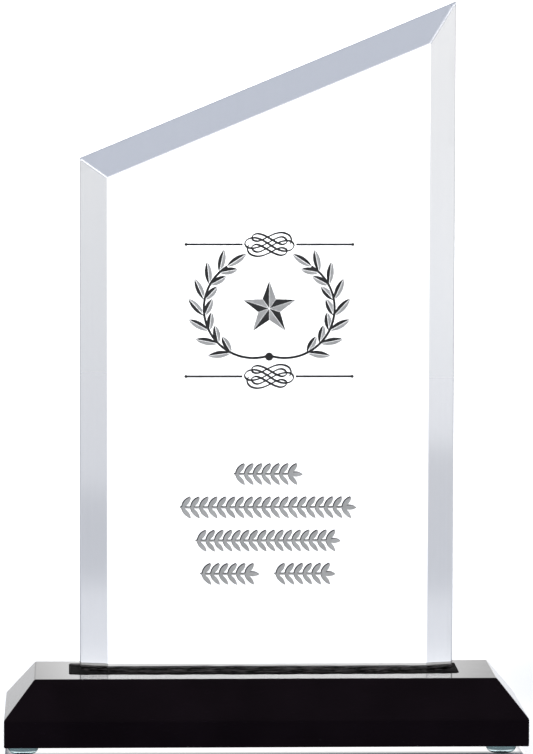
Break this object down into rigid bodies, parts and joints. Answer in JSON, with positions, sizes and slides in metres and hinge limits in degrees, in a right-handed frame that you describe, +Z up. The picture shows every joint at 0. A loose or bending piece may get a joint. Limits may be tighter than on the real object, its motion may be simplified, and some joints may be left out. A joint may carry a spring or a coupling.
{
  "type": "crystal award",
  "caption": "Slant-top clear crystal award: a bevelled engraved panel bedded in a slot in a black chamfered base on clear bumper feet.",
  "frame": {"origin": "on the standing surface, under the middle of the base", "axes": "+Z up, -Y towards the bevelled and engraved front, +X towards the panel's taller side"},
  "size_m": [0.1524, 0.053, 0.218],
  "materials": {
    "black_crystal": "polished opaque black",
    "clear_crystal": "polished, water clear",
    "black_sealant": "matt, uneven where it was wiped",
    "black_foam": "matt closed-cell foam tape",
    "clear_rubber": "clear bluish soft polyurethane, glossy",
    "foot_adhesive": "clear pressure-sensitive adhesive",
    "charcoal_paint": "charcoal paint fill, satin",
    "silver_paint": "silver-grey paint fill, satin"
  },
  "bodies": {
    "root": {"base_block": "black_crystal", "crystal_panel": "clear_crystal", "adhesive_bed": "black_sealant", "liner_front": "black_foam", "liner_rear": "black_foam", "end_filler_left": "black_sealant", "end_filler_right": "black_sealant", "foot_front_left": "clear_rubber", "foot_front_right": "clear_rubber", "foot_rear_left": "clear_rubber", "foot_rear_right": "clear_rubber", "foot_adhesive": "foot_adhesive", "rules_upper": "charcoal_paint", "rules_lower": "charcoal_paint", "scroll_upper": "charcoal_paint", "scroll_lower": "charcoal_paint", "wreath_dark": "charcoal_paint", "wreath_light": "silver_paint", "star_dark": "charcoal_paint", "star_light": "silver_paint", "garland_1": "silver_paint", "garland_2": "silver_paint", "garland_3": "silver_paint", "garland_4": "silver_paint"}
  },
  "joints": []
}
